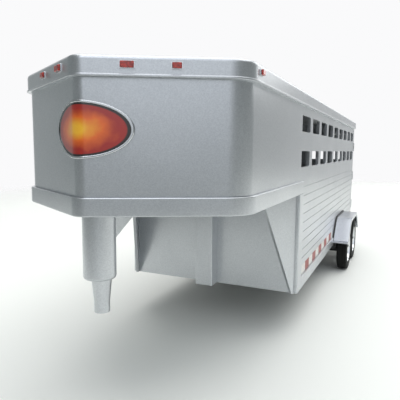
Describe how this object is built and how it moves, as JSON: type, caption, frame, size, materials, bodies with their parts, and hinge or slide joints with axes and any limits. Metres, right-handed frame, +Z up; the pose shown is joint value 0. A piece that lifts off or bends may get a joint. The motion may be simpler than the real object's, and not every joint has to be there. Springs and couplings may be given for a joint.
{
  "type": "model livestock trailer",
  "caption": "Scale model gooseneck stock trailer with a V nose, slatted sides with window openings, tandem axles, hinged rear gate with a sliding half gate, centre gate and escape door.",
  "frame": {"origin": "on the ground, under the middle of the model's box", "axes": "+Z up, -Y towards the nose (forward), +Y towards the rear gate, +X to the trailer's left"},
  "size_m": [0.1308, 0.408, 0.1367],
  "materials": {
    "silver_shell": "moulded ABS in satin silver paint with fine metal flake",
    "silver_trim": "moulded ABS in satin silver paint, same as the shell",
    "silver_fender": "bright silver gloss paint on ABS",
    "deck_grey": "moulded grey ABS, fine grained",
    "black_plastic": "moulded black ABS",
    "tyre_rubber": "moulded black rubber, matt",
    "plated_rim": "vacuum-plated bright chrome",
    "pin_steel": "drawn steel wire",
    "lens_red": "clear red polystyrene, gloss",
    "lamp_silver": "bright silver painted bezel",
    "tape_red": "printed film, satin",
    "tape_white": "printed film, satin",
    "badge_chrome": "bright rim",
    "badge_print": "print under a clear domed resin"
  },
  "bodies": {
    "trailer": {"roof": "silver_shell", "nose_shell": "silver_shell", "front_wall": "silver_shell", "rear_frame": "silver_shell", "side_panel_left": "silver_shell", "side_panel_right": "silver_shell", "front_post": "silver_shell", "neck_floor": "silver_shell", "coupler_rib": "silver_shell", "neck_rail": "silver_trim", "coupler_tube": "silver_trim", "coupler_pin": "silver_trim", "centre_gate_brackets": "silver_trim", "escape_door_brackets": "silver_trim", "corner_post_left": "silver_trim", "neck_gusset_left": "silver_trim", "bottom_rail_left": "silver_trim", "fender_left": "silver_fender", "fender_seal_left": "black_plastic", "suspension_beam_left": "black_plastic", "corner_post_right": "silver_trim", "neck_gusset_right": "silver_trim", "bottom_rail_right": "silver_trim", "fender_right": "silver_fender", "fender_seal_right": "black_plastic", "suspension_beam_right": "black_plastic", "floor_deck": "deck_grey", "cross_members": "deck_grey", "axle_front": "pin_steel", "axle_rear": "pin_steel", "gate_hinge_pins": "pin_steel", "centre_gate_pins": "pin_steel", "escape_door_pins": "pin_steel", "floor_screws": "pin_steel", "lamp_bases": "lamp_silver", "lamp_lenses": "lens_red", "tail_lamps": "lens_red", "tape_red": "tape_red", "tape_white": "tape_white", "badge_rim": "badge_chrome", "badge_face": "badge_print"},
    "rear_gate": {"rear_gate": "silver_shell", "slide_tracks": "silver_trim"},
    "slide_gate": {"slide_gate": "silver_shell"},
    "gate_latch": {"gate_latch": "silver_trim"},
    "centre_gate": {"centre_gate": "silver_shell"},
    "escape_door": {"escape_door": "silver_shell"},
    "escape_latch": {"escape_latch": "silver_trim"},
    "wheel_front_left": {"tyre_front_left": "tyre_rubber", "rim_front_left": "plated_rim", "hub_cap_front_left": "plated_rim"},
    "wheel_front_right": {"tyre_front_right": "tyre_rubber", "rim_front_right": "plated_rim", "hub_cap_front_right": "plated_rim"},
    "wheel_rear_left": {"tyre_rear_left": "tyre_rubber", "rim_rear_left": "plated_rim", "hub_cap_rear_left": "plated_rim"},
    "wheel_rear_right": {"tyre_rear_right": "tyre_rubber", "rim_rear_right": "plated_rim", "hub_cap_rear_right": "plated_rim"}
  },
  "joints": [
    {"name": "wheel_front_left_spin", "type": "hinge", "parent": "trailer", "child": "wheel_front_left", "pos_m": [0.058, 0.08082, 0.019], "axis": [1, 0, 0], "continuous": true},
    {"name": "wheel_front_right_spin", "type": "hinge", "parent": "trailer", "child": "wheel_front_right", "pos_m": [-0.058, 0.08082, 0.019], "axis": [1, 0, 0], "continuous": true},
    {"name": "wheel_rear_left_spin", "type": "hinge", "parent": "trailer", "child": "wheel_rear_left", "pos_m": [0.058, 0.12382, 0.019], "axis": [1, 0, 0], "continuous": true},
    {"name": "wheel_rear_right_spin", "type": "hinge", "parent": "trailer", "child": "wheel_rear_right", "pos_m": [-0.058, 0.12382, 0.019], "axis": [1, 0, 0], "continuous": true},
    {"name": "rear_gate_swing", "type": "hinge", "parent": "trailer", "child": "rear_gate", "pos_m": [0.0514, 0.20282, 0.077], "axis": [0, 0, -1], "range_deg": [0, 180]},
    {"name": "slide_gate_slide", "type": "slide", "parent": "rear_gate", "child": "slide_gate", "axis": [1, 0, 0], "range_m": [0, 0.032]},
    {"name": "gate_latch_turn", "type": "hinge", "parent": "rear_gate", "child": "gate_latch", "pos_m": [-0.0428, 0.20252, 0.077], "axis": [0, -1, 0], "range_deg": [0, 90]},
    {"name": "centre_gate_swing", "type": "hinge", "parent": "trailer", "child": "centre_gate", "pos_m": [-0.0482, 0.06382, 0.078], "axis": [0, 0, 1], "range_deg": [-85, 85]},
    {"name": "escape_door_swing", "type": "hinge", "parent": "trailer", "child": "escape_door", "pos_m": [-0.0533, -0.06758, 0.064], "axis": [0, 0, 1], "range_deg": [0, 110]},
    {"name": "escape_latch_turn", "type": "hinge", "parent": "escape_door", "child": "escape_latch", "pos_m": [-0.0535, -0.04418, 0.064], "axis": [-1, 0, 0], "range_deg": [0, 90]}
  ]
}
